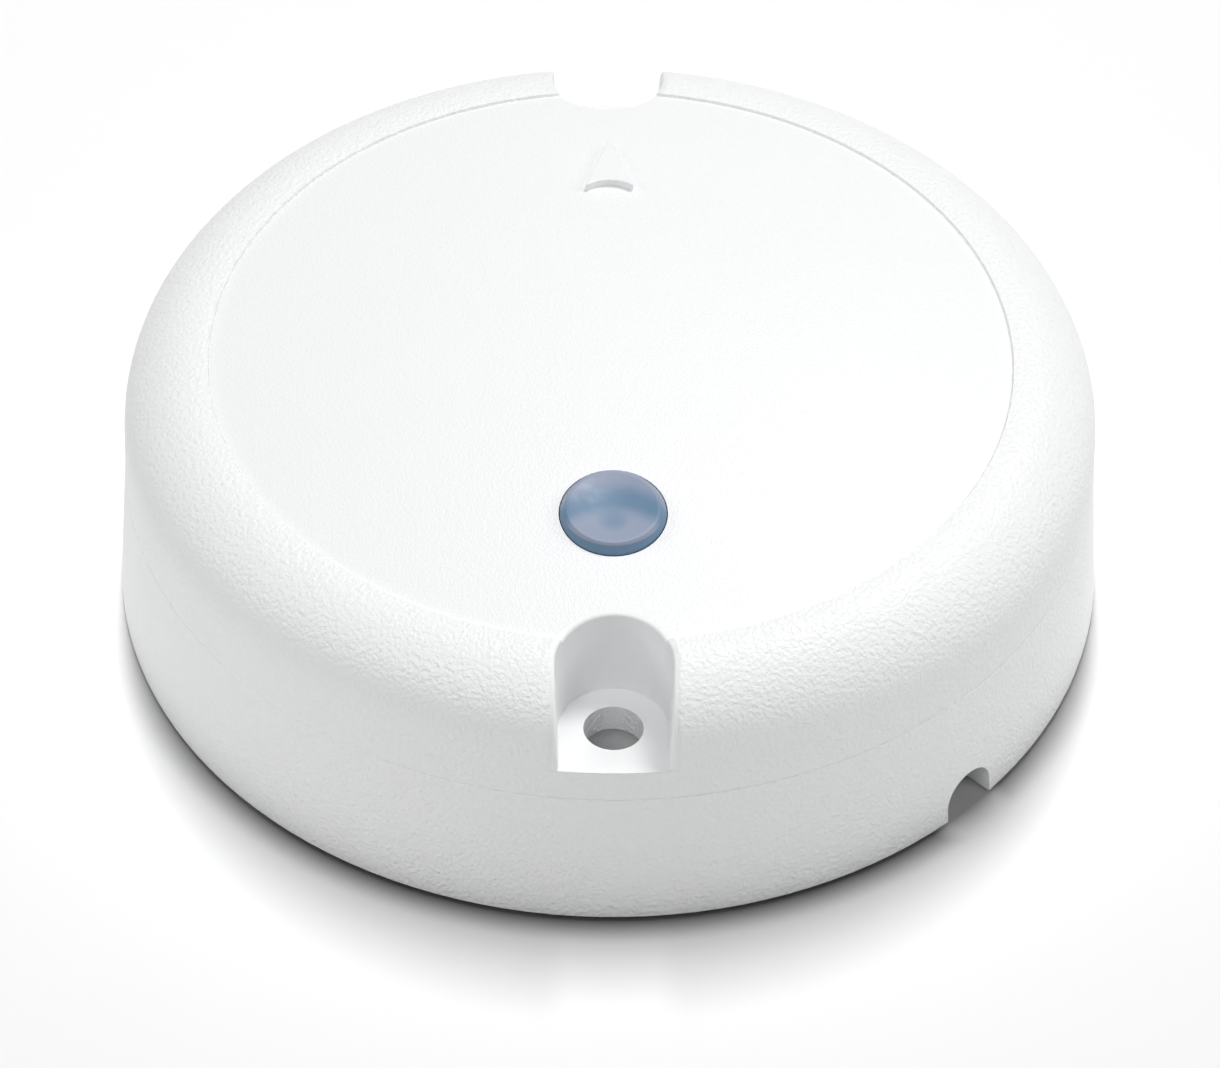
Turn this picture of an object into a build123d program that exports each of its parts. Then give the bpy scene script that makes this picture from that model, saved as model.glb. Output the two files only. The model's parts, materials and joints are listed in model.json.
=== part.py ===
from build123d import *

import os
from math import acos, cos, degrees, radians, sin, sqrt, tan

# Round GNSS and heading receiver: a low white puck that two screws hold to a deck.
# Origin: centre of the base's underside. +Z up, +Y where the moulded arrow points.
# Millimetres throughout.

# ---- Housing outline -------------------------------------------------------------
PART_RADIUS = 46.0          # where base and cover meet
SKIRT_FLARE = 0.9           # the rim on the deck is this much wider
PART_Z = 15.0               # height of that joint
COVER_DRAFT = 1.4           # degrees, the cover's wall leans in
SHOULDER_RADIUS = 7.5       # rolled edge between wall and top
RIM_FLAT = 0.7              # narrow crest round the top disc
DISC_STEP = 0.25            # the disc lies this far below the crest
STEP_RUN = 0.15             # that step leans out by this much
DOME_RADIUS = 182.0         # sphere of the domed disc
OVERALL_HEIGHT = 31.0       # crown of the dome
COVER_WALL = 2.3
SKIRT_WALL = 1.6            # at the joint
FOOT_BREAK = 0.45           # chamfer at the foot of the skirt
JOINT_BREAK = 0.12          # each half of the small groove at the joint

# ---- Mounting screw pockets ------------------------------------------------------
SCREW_SETBACK = 5.75        # from the joint's outer edge in to the screw's centre
SCREW_HOLE_RADIUS = 2.75
LEDGE_Z = 18.5              # seat of the screw head
HOLE_LENGTH = 2.9           # wall of the screw hole under the seat
SLOT_HALF_WIDTH = 5.0       # open slot, at the seat
SLOT_DRAFT = 2.6            # degrees, its walls lean out towards the top
SLOT_WALL = 2.2             # wall between slot and inside
SLOT_EDGE = 0.3             # rounding of the slot's upper edges
TOWER_BORE_RADIUS = 3.75    # roomier bore in the base below
TOWER_WALL = 2.15

# ---- Moulded arrow ---------------------------------------------------------------
ARROW_TO_SLOT = 7.0         # from the sharp point to the slot's inner end
ARROW_LENGTH = 8.35         # to the sharp point, before the tip is rounded
ARROW_HALF_WIDTH = 2.43
ARROW_HOLLOW = 1.2          # the base curves in by this much
ARROW_HEIGHT = 0.8
ARROW_TIP = 0.15            # rounding of the arrow's corners in plan
ARROW_EDGE = 0.12           # rounding of its upper edge

# ---- Cable way -------------------------------------------------------------------
NOTCH_TURN = 45.5           # degrees from -Y towards +X
NOTCH_HALF_WIDTH = 2.88
NOTCH_STRAIGHT = 1.95       # upright part below the round arch
NOTCH_LIP = 0.5             # rounding where the notch meets the foot
NOTCH_BLOCK_WALL = 2.2
NOTCH_BLOCK_LENGTH = 10.0
RECESS_DEPTH = 7.0          # hollow under the floor
FLOOR_THICKNESS = 2.2
GLAND_BORE_RADIUS = 2.1
GLAND_NECK_RADIUS = 3.9
GLAND_FLANGE_RADIUS = 5.1
GLAND_FLANGE = 1.5          # thickness of each flange
HUB_GAP = 0.9               # ring round the gland clears its flange
HUB_WALL = 1.4
HUB_DEPTH = 2.5
RIB_THICKNESS = 1.4
RIB_DEPTH = 2.5

# ---- Seal between the halves -----------------------------------------------------
GROOVE_WIDTH = 1.4
TONGUE_WALL = 1.6
BAY_CORNER = 4.2            # rounding where the seal turns round a screw tower
SEAL_HEIGHT = 1.7
SEAL_SIDE_GAP = 0.05
PRESS_RIB_GAP = 0.2         # the cover's rib clears the groove's walls
PRESS_RIB_OVERLAP = 1.2     # how far the rib runs up the cover's wall

# ---- Housing screws --------------------------------------------------------------
HOUSING_SCREW_TURN = 30.0   # degrees from X, in each quarter
BOSS_TO_TONGUE = 1.75
BOSS_RADIUS = 3.2
PILOT_RADIUS = 1.25
PILOT_DEPTH = 7.5           # above the joint
HEAD_WELL_RADIUS = 3.2
HEAD_WELL_WALL = 1.1
HEAD_WELL_DEPTH = 4.2       # how far the wells hang below the floor
CLEAR_HOLE_RADIUS = 1.6
HEAD_RADIUS = 2.75
HEAD_HEIGHT = 2.0
WASHER_THICKNESS = 0.8
WASHER_RADIUS = 2.6
SCREW_ENGAGEMENT = 6.5      # shank above the joint
DRIVE_RADIUS = 1.2
DRIVE_DEPTH = 1.1
FIT_GAP = 0.03              # between a screw's core and its hole

# ---- Circuit board ---------------------------------------------------------------
BOARD_TO_TONGUE = 1.2       # radial gap at the board's rim
BOARD_Z = 16.0
BOARD_THICKNESS = 1.6
BOARD_CLEARANCE = 0.6       # round bosses and pockets
BOARD_SCREW_X = 13.0
BOARD_SCREW_Y = 29.5
POST_RADIUS = 2.4
POST_PILOT_RADIUS = 0.8
POST_PILOT_DEPTH = 5.0
BOARD_SCREW_ENGAGEMENT = 4.2
BOARD_HEAD_RADIUS = 1.9
BOARD_HEAD_HEIGHT = 1.3

# ---- Button and its switch -------------------------------------------------------
BUTTON_TO_POCKET = 9.55     # from the pocket's wall to the button's centre
BUTTON_HOLE_RADIUS = 5.0
BUTTON_GAP = 0.1            # radial, between cap and hole
BUTTON_PROUD = 0.85         # rim of the cap above the dome
BUTTON_TOP_INSET = 0.55     # the cap's flank leans in to its rim
BUTTON_TILT = 5.0           # degrees, the cap's face leans as the dome does
BUTTON_DISH = 0.6           # depth of the finger hollow
BUTTON_RIM = 0.3            # width of the rim round that hollow
BUTTON_EDGE = 0.12          # rounding of the rim's outer edge
BUTTON_SKIRT = 1.5          # the leaning flank is carried this far below the dome
BUTTON_CORE_RADIUS = 3.0
BUTTON_ROOF = 1.7
SLEEVE_WALL = 1.4
SLEEVE_Z = 23.2
STOP_GAP = 0.25             # from the cap's flange up to the sleeve
FLANGE_RADIUS = 6.1
FLANGE_THICKNESS = 1.0
RING_SECTION = 0.9          # diameter of the sealing ring's section
RING_GROOVE_GAP = 0.05
RING_ABOVE_FLANGE = 1.4
STEM_RADIUS = 1.5
STEM_GAP = 0.05             # from the stem down to the plunger
SWITCH_SIZE = 6.0
SWITCH_HEIGHT = 3.3
SWITCH_WELL_RADIUS = 2.15
SWITCH_WELL_DEPTH = 2.4
PLATE_THICKNESS = 0.2
PLUNGER_RADIUS = 1.7
PLUNGER_GAP = 0.08
PLUNGER_PROUD = 1.0
COLLAR_RADIUS = 2.05
COLLAR_THICKNESS = 1.0
COLLAR_DROP = 0.7           # room under the plate down to the collar's top
TERMINAL_SPREAD = 4.5
TERMINAL_WIDTH = 0.7
TERMINAL_REACH = 1.0
TERMINAL_THICKNESS = 0.25

# ---- Antenna ---------------------------------------------------------------------
ANTENNA_Y = 4.0
ANTENNA_SIZE = 25.0
ANTENNA_HEIGHT = 4.0
ANTENNA_PAD = 0.5
ANTENNA_PATCH_SIZE = 20.5
ANTENNA_PATCH_HEIGHT = 0.2
ANTENNA_TRIM = 1.6          # cut corners of the metal patch
FEED_OFFSET = 2.2
FEED_RADIUS = 0.5
FEED_GAP = 0.05
FEED_HEAD_RADIUS = 1.1
FEED_HEAD_HEIGHT = 0.4
FEED_TAIL = 1.2             # below the board

# ---- Board parts: x, y, length, width, height ------------------------------------
RECEIVER_CAN = (23.0, 4.0, 12.0, 16.0, 2.4)
RADIO_BOARD = (-22.5, -4.5, 13.0, 17.0, 0.8)
RADIO_CAN = (-22.5, -1.5, 9.5, 9.5, 1.6)
PROCESSOR = (19.0, -12.5, 7.0, 7.0, 0.9)
COMPASS_CHIP = (-22.0, 17.0, 3.0, 3.0, 1.0)
MOTION_CHIP = (-16.5, 20.5, 3.0, 2.5, 0.9)
REGULATOR = (16.0, 21.0, 6.5, 3.5, 1.7)
CHOKE = (8.0, 24.0, 5.0, 5.0, 2.8)
CRYSTAL = (26.0, -9.0, 3.2, 2.5, 0.8)
CAPACITOR_X = (-6.5, 0.0)
CAPACITOR_Y = 24.5
CAPACITOR_RADIUS = 2.6
CAPACITOR_HEIGHT = 5.4
CAPACITOR_FOOT = 0.8
LAMP_X = 4.9
LAMP_SIZE = (1.6, 2.0, 0.8)
HEADER = (-12.0, -12.0, 11.5, 5.0, 4.6)
HEADER_WALL = 0.8
HEADER_PINS = 4
HEADER_PITCH = 2.5
HEADER_PIN_RADIUS = 0.32
CHIP_EDGE = 0.15
CHOKE_EDGE = 0.6

# ---- Worked out ------------------------------------------------------------------
LEAN = radians(COVER_DRAFT)
BASE_RADIUS = PART_RADIUS + SKIRT_FLARE
SKIRT_INNER_RADIUS = PART_RADIUS - SKIRT_WALL
TONGUE_INNER_RADIUS = SKIRT_INNER_RADIUS - GROOVE_WIDTH - TONGUE_WALL
SCREW_Y = PART_RADIUS - SCREW_SETBACK
DOME_CENTRE_Z = OVERALL_HEIGHT - DOME_RADIUS
FLOOR_Z = RECESS_DEPTH + FLOOR_THICKNESS
TOWER_RADIUS = TOWER_BORE_RADIUS + TOWER_WALL
POCKET_HALF_WIDTH = SLOT_HALF_WIDTH + SLOT_WALL
BOARD_TOP = BOARD_Z + BOARD_THICKNESS
BOARD_RADIUS = TONGUE_INNER_RADIUS - BOARD_TO_TONGUE
BUTTON_Y = -(SCREW_Y - POCKET_HALF_WIDTH - BUTTON_TO_POCKET)
ARROW_BASE_Y = SCREW_Y - SLOT_HALF_WIDTH - ARROW_TO_SLOT - ARROW_LENGTH
TALL = 2 * OVERALL_HEIGHT   # cutting bodies run well past the housing
NEAR = 0.1                  # margin when edges are picked by place
TOUCH = 0.01                # closer than this counts as the same height
OVERRUN = 1.0               # cuts run past the face they break through
ROOT = 0.5                  # raised parts start this far inside the floor
SHOULDER_PASSES = 12
CAP_RADIUS = BUTTON_HOLE_RADIUS - BUTTON_GAP
SWITCH_TOP = BOARD_TOP + SWITCH_HEIGHT
PLUNGER_TOP = SWITCH_TOP + PLATE_THICKNESS + PLUNGER_PROUD
STEM_Z = PLUNGER_TOP + STEM_GAP
FLANGE_TOP = SLEEVE_Z - STOP_GAP
FLANGE_Z = FLANGE_TOP - FLANGE_THICKNESS
MOUNTING_SCREWS = [(0, -SCREW_Y), (0, SCREW_Y)]
HOUSING_SCREW_R = TONGUE_INNER_RADIUS - BOSS_TO_TONGUE - BOSS_RADIUS
HOUSING_SCREW_X = HOUSING_SCREW_R * cos(radians(HOUSING_SCREW_TURN))
HOUSING_SCREW_Y = HOUSING_SCREW_R * sin(radians(HOUSING_SCREW_TURN))
HOUSING_SCREWS = [(x * HOUSING_SCREW_X, y * HOUSING_SCREW_Y) for x in (-1, 1) for y in (-1, 1)]
BOARD_SCREWS = [(x * BOARD_SCREW_X, y * BOARD_SCREW_Y) for x in (-1, 1) for y in (-1, 1)]


def dome_z(radius, raised=0.0):
    """Height of the dome at a radius, on the sphere grown by raised."""
    return DOME_CENTRE_Z + sqrt((DOME_RADIUS + raised) ** 2 - radius**2)


def shoulder():
    """Radius and height of the shoulder's centre, and the radius of the disc inside its crest."""
    disc = PART_RADIUS - SHOULDER_RADIUS
    for _ in range(SHOULDER_PASSES):
        centre_z = dome_z(disc) + DISC_STEP - SHOULDER_RADIUS
        wall_in = (centre_z - PART_Z) * tan(LEAN) + SHOULDER_RADIUS / cos(LEAN)
        disc = PART_RADIUS - wall_in - RIM_FLAT
    return disc + RIM_FLAT, centre_z, disc


SHOULDER_R, SHOULDER_Z, DISC_RADIUS = shoulder()
CREST_Z = SHOULDER_Z + SHOULDER_RADIUS


# ---- Helpers ---------------------------------------------------------------------
def spun(*outline):
    """A closed outline in the X-Z plane, turned once about Z."""
    return revolve(Plane.XZ * make_face(outline), Axis.Z)


def rod(radius, low, high, at=(0, 0)):
    """A round bar along Z between two heights."""
    return extrude(Pos(at[0], at[1], low) * Circle(radius), high - low)


def tube(outer, inner, low, high, at=(0, 0)):
    """A round wall along Z between two heights."""
    return extrude(Pos(at[0], at[1], low) * (Circle(outer) - Circle(inner)), high - low)


def bar(x, y, length, width, low, high):
    """An upright block centred on x, y between two heights."""
    return Pos(x, y, low) * Box(length, width, high - low, align=(Align.CENTER, Align.CENTER, Align.MIN))


def prism(face, low, high):
    """A flat face carried straight up from one height to another."""
    return extrude(Pos(0, 0, low) * face, high - low)


def save(shape, name):
    """Writes one named piece."""
    export_step(shape, f"parts/{name}.step")


def save_group(solids, name):
    """Writes several separate solids as one named piece."""
    export_step(Compound(children=list(solids)), f"parts/{name}.step")


# ---- Shared outlines -------------------------------------------------------------
def slot_face(half_width):
    """Plan of both screw pockets: round inner ends, open to the outside."""
    long = BASE_RADIUS
    plan = Sketch()
    for x, y in MOUNTING_SCREWS:
        outward = 1 if y > 0 else -1
        plan += Pos(x, y) * Circle(half_width)
        plan += Pos(x, y + outward * long / 2) * Rectangle(2 * half_width, long)
    return plan


def seal_face(inset):
    """Plan inside the base's wall, with a bay round each screw tower, drawn in by inset."""
    plan = Circle(SKIRT_INNER_RADIUS - inset)
    for x, y in MOUNTING_SCREWS:
        plan -= Pos(x, y) * Circle(TOWER_RADIUS + inset)
    return fillet(plan.vertices(), BAY_CORNER - inset)


def wall_outline(inward):
    """Section of the cover's wall and shoulder, drawn in by a wall, from the disc's edge out."""
    wall_foot = PART_RADIUS - inward / cos(LEAN)
    radius = SHOULDER_RADIUS - inward
    bend = (SHOULDER_R + radius * cos(LEAN), SHOULDER_Z + radius * sin(LEAN))
    crest = SHOULDER_Z + radius
    inside = DISC_RADIUS - STEP_RUN
    rim = (DISC_RADIUS + STEP_RUN, crest)
    return [
        Polyline((inside, PART_Z), (wall_foot, PART_Z), bend),
        CenterArc((SHOULDER_R, SHOULDER_Z), radius, COVER_DRAFT, 90 - COVER_DRAFT),
        Polyline((SHOULDER_R, crest), rim, (inside, crest - 2 * DISC_STEP), (inside, PART_Z)),
    ]


def disc_outline(inward, radius):
    """Section of the domed disc, drawn in by a wall, out to a radius."""
    start = degrees(acos(radius / (DOME_RADIUS - inward)))
    return [
        Polyline((0, PART_Z), (radius, PART_Z), (radius, dome_z(radius, -inward))),
        CenterArc((0, DOME_CENTRE_Z), DOME_RADIUS - inward, start, 90 - start),
        Line((0, OVERALL_HEIGHT - inward), (0, PART_Z)),
    ]


# ---- Cover -----------------------------------------------------------------------
def slotted(body):
    """Cuts both screw slots and rounds the edges where they break through."""
    rise = OVERALL_HEIGHT - LEDGE_Z
    for plan in slot_face(SLOT_HALF_WIDTH).faces():
        body -= extrude(Pos(0, 0, LEDGE_Z) * plan, rise, taper=-SLOT_DRAFT)
    wide = SLOT_HALF_WIDTH + rise * tan(radians(SLOT_DRAFT)) + NEAR
    upper = []
    for edge in body.edges():
        middle = edge.center()
        beside = abs(middle.X) < wide and abs(middle.Y) > SCREW_Y - wide
        upright = edge.geom_type == GeomType.LINE and abs(middle.Y) < SCREW_Y + NEAR
        ends = all(abs(end.X) < wide for end in edge.vertices())
        if middle.Z > LEDGE_Z + NEAR and beside and ends and not upright:
            upper.append(edge)
    return fillet(upper, SLOT_EDGE)


def arrow():
    """A raised arrowhead that follows the dome, with a hollow base."""
    foot = ARROW_BASE_Y
    outline = make_face([
        Polyline((-ARROW_HALF_WIDTH, foot), (0, foot + ARROW_LENGTH), (ARROW_HALF_WIDTH, foot)),
        ThreePointArc((ARROW_HALF_WIDTH, foot), (0, foot + ARROW_HOLLOW), (-ARROW_HALF_WIDTH, foot)),
    ])
    outline = fillet(outline.vertices(), ARROW_TIP)
    low = dome_z(foot + ARROW_LENGTH) - COVER_WALL / 2
    body = prism(outline, low, TALL) & (Pos(0, 0, DOME_CENTRE_Z) * Sphere(DOME_RADIUS + ARROW_HEIGHT))
    raised = dome_z(foot + ARROW_LENGTH) + ARROW_HEIGHT / 2
    high = [edge for edge in body.edges() if edge.center().Z > raised]
    rim = [edge for edge in high if abs(edge.tangent_at(0.5).Z) < 0.5]
    return fillet(rim, ARROW_EDGE)


def cover_hollow():
    """The space inside the cover, less everything that hangs in it."""
    hollow = spun(*disc_outline(COVER_WALL, DISC_RADIUS)) + spun(*wall_outline(COVER_WALL))
    hollow -= prism(slot_face(POCKET_HALF_WIDTH), PART_Z, TALL)
    for at in HOUSING_SCREWS:
        hollow -= rod(BOSS_RADIUS, PART_Z, TALL, at)
    hollow -= rod(BUTTON_HOLE_RADIUS + SLEEVE_WALL, SLEEVE_Z, TALL, (0, BUTTON_Y))
    return hollow


def top_cover():
    """Moulded cover: wall, shoulder, domed disc, screw slots, arrow and button hole."""
    body = slotted(spun(*wall_outline(0))) + slotted(spun(*disc_outline(0, SHOULDER_R)))
    joint = body.edges().filter_by(GeomType.CIRCLE).group_by(Axis.Z)[0]
    body = chamfer(joint.sort_by(lambda edge: edge.radius)[-1], JOINT_BREAK)
    body += arrow()
    body -= cover_hollow()
    groove_low = FLOOR_Z + SEAL_HEIGHT
    press_rib = seal_face(PRESS_RIB_GAP) - seal_face(GROOVE_WIDTH - PRESS_RIB_GAP)
    body += prism(press_rib, groove_low, PART_Z + PRESS_RIB_OVERLAP)
    for at in MOUNTING_SCREWS:
        body -= rod(SCREW_HOLE_RADIUS, PART_Z, TALL, at)
        body -= rod(TOWER_BORE_RADIUS, PART_Z, LEDGE_Z - HOLE_LENGTH, at)
    for at in HOUSING_SCREWS:
        body -= rod(PILOT_RADIUS, PART_Z, PART_Z + PILOT_DEPTH, at)
    return body - rod(BUTTON_HOLE_RADIUS, SLEEVE_Z, TALL, (0, BUTTON_Y))


# ---- Base ------------------------------------------------------------------------
def notch_tunnel():
    """The arched cable way through the skirt, along its own direction from the centre."""
    half = NOTCH_HALF_WIDTH
    foot = half + NOTCH_LIP
    turn = sqrt(0.5) * NOTCH_LIP
    arch = make_face([
        Polyline((half, NOTCH_LIP), (half, NOTCH_STRAIGHT)),
        ThreePointArc((half, NOTCH_STRAIGHT), (0, NOTCH_STRAIGHT + half), (-half, NOTCH_STRAIGHT)),
        Polyline((-half, NOTCH_STRAIGHT), (-half, NOTCH_LIP)),
        ThreePointArc((-half, NOTCH_LIP), (-foot + turn, NOTCH_LIP - turn), (-foot, 0)),
        Polyline((-foot, 0), (-foot, -OVERRUN), (foot, -OVERRUN), (foot, 0)),
        ThreePointArc((foot, 0), (foot - turn, NOTCH_LIP - turn), (half, NOTCH_LIP)),
    ])
    along = Plane.XZ * arch
    start = SKIRT_INNER_RADIUS - NOTCH_BLOCK_LENGTH - OVERRUN
    tunnel = extrude(along, BASE_RADIUS + OVERRUN - start)
    return Rot(0, 0, NOTCH_TURN) * Pos(0, -start, 0) * tunnel


def notch_block():
    """Solid ground round the cable way, from the skirt inwards."""
    half = NOTCH_HALF_WIDTH + NOTCH_BLOCK_WALL
    length = NOTCH_BLOCK_LENGTH + ROOT
    middle = SKIRT_INNER_RADIUS + ROOT - length / 2
    block = bar(0, -middle, 2 * half, length, 0, RECESS_DEPTH)
    return Rot(0, 0, NOTCH_TURN) * block


def ribs():
    """Stiffening ribs under the floor, from the gland's hub to each tower and well."""
    hub = GLAND_FLANGE_RADIUS + HUB_GAP
    solids = [tube(hub + HUB_WALL, hub, RECESS_DEPTH - HUB_DEPTH, RECESS_DEPTH)]
    for at in MOUNTING_SCREWS + HOUSING_SCREWS:
        reach = sqrt(at[0] ** 2 + at[1] ** 2)
        start = hub + HUB_WALL / 2
        middle = (start + reach) / 2
        heading = degrees(acos(at[0] / reach)) * (1 if at[1] > 0 else -1)
        rib = bar(middle, 0, reach - start, RIB_THICKNESS, RECESS_DEPTH - RIB_DEPTH, RECESS_DEPTH)
        solids.append(Rot(0, 0, heading) * rib)
    return solids


def recess():
    """The hollow under the floor, less what hangs in it."""
    plan = Circle(SKIRT_INNER_RADIUS)
    for x, y in MOUNTING_SCREWS:
        plan -= Pos(x, y) * Circle(TOWER_RADIUS)
    hollow = prism(plan, -OVERRUN, RECESS_DEPTH)
    well_low = RECESS_DEPTH - HEAD_WELL_DEPTH
    for at in HOUSING_SCREWS:
        hollow -= rod(HEAD_WELL_RADIUS + HEAD_WELL_WALL, well_low, RECESS_DEPTH, at)
    for solid in ribs():
        hollow -= solid
    return hollow - notch_block()


def skirt():
    """The base's outer form with its broken edges."""
    slope = (BASE_RADIUS - PART_RADIUS) / PART_Z
    return spun(
        Polyline(
            (0, 0),
            (BASE_RADIUS - FOOT_BREAK, 0),
            (BASE_RADIUS - FOOT_BREAK * slope, FOOT_BREAK),
            (PART_RADIUS + JOINT_BREAK * slope, PART_Z - JOINT_BREAK),
            (PART_RADIUS - JOINT_BREAK, PART_Z),
            (0, PART_Z),
            close=True,
        )
    )


def base():
    """Moulded base: skirt, floor, seal groove, screw towers, posts and cable way."""
    body = skirt()
    body -= prism(seal_face(0), FLOOR_Z, TALL)
    body -= recess()
    tongue = seal_face(GROOVE_WIDTH) - seal_face(GROOVE_WIDTH + TONGUE_WALL)
    body += prism(tongue, FLOOR_Z - ROOT, PART_Z - PRESS_RIB_GAP)
    for at in HOUSING_SCREWS:
        body += rod(BOSS_RADIUS, FLOOR_Z - ROOT, PART_Z, at)
        body -= rod(CLEAR_HOLE_RADIUS, 0, TALL, at)
        body -= rod(HEAD_WELL_RADIUS, 0, RECESS_DEPTH, at)
    for at in BOARD_SCREWS:
        body += rod(POST_RADIUS, FLOOR_Z - ROOT, BOARD_Z, at)
        body -= rod(POST_PILOT_RADIUS + FIT_GAP, BOARD_Z - POST_PILOT_DEPTH, BOARD_Z, at)
    for at in MOUNTING_SCREWS:
        body -= rod(TOWER_BORE_RADIUS, 0, TALL, at)
    body -= rod(GLAND_NECK_RADIUS + FIT_GAP, 0, TALL)
    return body - notch_tunnel()


def cable_gland():
    """Rubber bush with a flange each side of the floor, its bore open for the lead."""
    low = RECESS_DEPTH - GLAND_FLANGE
    high = FLOOR_Z + GLAND_FLANGE
    taper = GLAND_FLANGE / 2
    return spun(
        Polyline(
            (GLAND_BORE_RADIUS, low),
            (GLAND_FLANGE_RADIUS - taper, low),
            (GLAND_FLANGE_RADIUS, low + taper),
            (GLAND_FLANGE_RADIUS, RECESS_DEPTH),
            (GLAND_NECK_RADIUS, RECESS_DEPTH),
            (GLAND_NECK_RADIUS, FLOOR_Z),
            (GLAND_FLANGE_RADIUS, FLOOR_Z),
            (GLAND_FLANGE_RADIUS - taper, high),
            (GLAND_BORE_RADIUS, high),
            close=True,
        )
    )


def housing_seal():
    """Rubber strip that lies in the bottom of the groove."""
    strip = seal_face(SEAL_SIDE_GAP) - seal_face(GROOVE_WIDTH - SEAL_SIDE_GAP)
    return prism(strip, FLOOR_Z, FLOOR_Z + SEAL_HEIGHT)


# ---- Screws ----------------------------------------------------------------------
def screw(at, seat, head_radius, head_height, core, tip, upward):
    """A thread-forming screw: round head on its seat, core to its tip, hexagon socket."""
    way = 1 if upward else -1
    head_end = seat - way * head_height
    body = rod(head_radius, min(seat, head_end), max(seat, head_end), at)
    rim = [edge for edge in body.edges() if abs(edge.center().Z - head_end) < TOUCH]
    body = fillet(rim, head_height / 4)
    body += rod(core, min(seat, tip), max(seat, tip), at)
    socket = RegularPolygon(DRIVE_RADIUS * head_radius / HEAD_RADIUS, 6)
    depth = DRIVE_DEPTH * head_height / HEAD_HEIGHT
    low = head_end if upward else head_end - depth
    return body - extrude(Pos(at[0], at[1], low) * socket, depth)


def housing_screws():
    """Four screws driven up from below into the cover's bosses."""
    seat = RECESS_DEPTH - WASHER_THICKNESS
    tip = PART_Z + SCREW_ENGAGEMENT
    core = PILOT_RADIUS - FIT_GAP
    return [screw(at, seat, HEAD_RADIUS, HEAD_HEIGHT, core, tip, True) for at in HOUSING_SCREWS]


def screw_seals():
    """A rubber washer under each of those heads."""
    low = RECESS_DEPTH - WASHER_THICKNESS
    return [tube(WASHER_RADIUS, PILOT_RADIUS, low, RECESS_DEPTH, at) for at in HOUSING_SCREWS]


def board_screws():
    """Four small screws that hold the board on its posts."""
    tip = BOARD_Z - BOARD_SCREW_ENGAGEMENT
    size = (BOARD_HEAD_RADIUS, BOARD_HEAD_HEIGHT, POST_PILOT_RADIUS)
    return [screw(at, BOARD_TOP, *size, tip, False) for at in BOARD_SCREWS]


# ---- Board -----------------------------------------------------------------------
def circuit_board():
    """Round board with bays for the screw pockets and bosses, and its holes."""
    plan = Circle(BOARD_RADIUS)
    for x, y in MOUNTING_SCREWS:
        plan -= Pos(x, y) * Circle(POCKET_HALF_WIDTH + BOARD_CLEARANCE)
    for x, y in HOUSING_SCREWS:
        turn = degrees(acos(x / sqrt(x * x + y * y))) * (1 if y > 0 else -1)
        bay = BOSS_RADIUS + BOARD_CLEARANCE
        plan -= Pos(x, y) * Circle(bay)
        plan -= Pos(x, y) * Rot(0, 0, turn) * Pos(BOARD_RADIUS / 2, 0) * Rectangle(BOARD_RADIUS, 2 * bay)
    for x, y in BOARD_SCREWS:
        plan -= Pos(x, y) * Circle(POST_PILOT_RADIUS + BOARD_CLEARANCE / 2)
    plan -= Pos(0, ANTENNA_Y + FEED_OFFSET) * Circle(FEED_RADIUS + FEED_GAP)
    return prism(plan, BOARD_Z, BOARD_TOP)


def chip(x, y, length, width, height, edge=CHIP_EDGE):
    """A moulded or metal package with eased upper edges."""
    body = bar(x, y, length, width, BOARD_TOP, BOARD_TOP + height)
    top = body.faces().sort_by(Axis.Z)[-1]
    return chamfer(top.edges(), edge)


def antenna_pieces():
    """Adhesive pad, ceramic block, silvered patch and feed pin, bottom to top."""
    feed = (0, ANTENNA_Y + FEED_OFFSET)
    pad_top = BOARD_TOP + ANTENNA_PAD
    block_top = pad_top + ANTENNA_HEIGHT
    patch_top = block_top + ANTENNA_PATCH_HEIGHT
    hole = rod(FEED_RADIUS + FEED_GAP, BOARD_TOP, TALL, feed)
    pad = bar(0, ANTENNA_Y, ANTENNA_SIZE, ANTENNA_SIZE, BOARD_TOP, pad_top)
    block = bar(0, ANTENNA_Y, ANTENNA_SIZE, ANTENNA_SIZE, pad_top, block_top)
    block = chamfer(block.edges().filter_by(Axis.Z), ANTENNA_TRIM / 2)
    patch = bar(0, ANTENNA_Y, ANTENNA_PATCH_SIZE, ANTENNA_PATCH_SIZE, block_top, patch_top)
    corners = patch.edges().filter_by(Axis.Z).sort_by(lambda edge: edge.center().X + edge.center().Y)
    patch = chamfer([corners[0], corners[-1]], ANTENNA_TRIM)
    pin = rod(FEED_RADIUS, BOARD_Z - FEED_TAIL, patch_top, feed)
    pin += rod(FEED_HEAD_RADIUS, patch_top, patch_top + FEED_HEAD_HEIGHT, feed)
    return pad - hole, block - hole, patch - hole, pin


def radio_module():
    """The radio's small carrier board and the shield can on it."""
    x, y, length, width, height = RADIO_BOARD
    carrier = bar(x, y, length, width, BOARD_TOP, BOARD_TOP + height)
    can = Pos(0, 0, height) * chip(*RADIO_CAN)
    return carrier, can


def capacitors():
    """Upright can capacitors on square feet."""
    cans = []
    width = 2 * CAPACITOR_RADIUS
    for x in CAPACITOR_X:
        foot = bar(x, CAPACITOR_Y, width, width, BOARD_TOP, BOARD_TOP + CAPACITOR_FOOT)
        can = rod(CAPACITOR_RADIUS, BOARD_TOP, BOARD_TOP + CAPACITOR_HEIGHT, (x, CAPACITOR_Y))
        cans.append(foot + can)
    return cans


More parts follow.
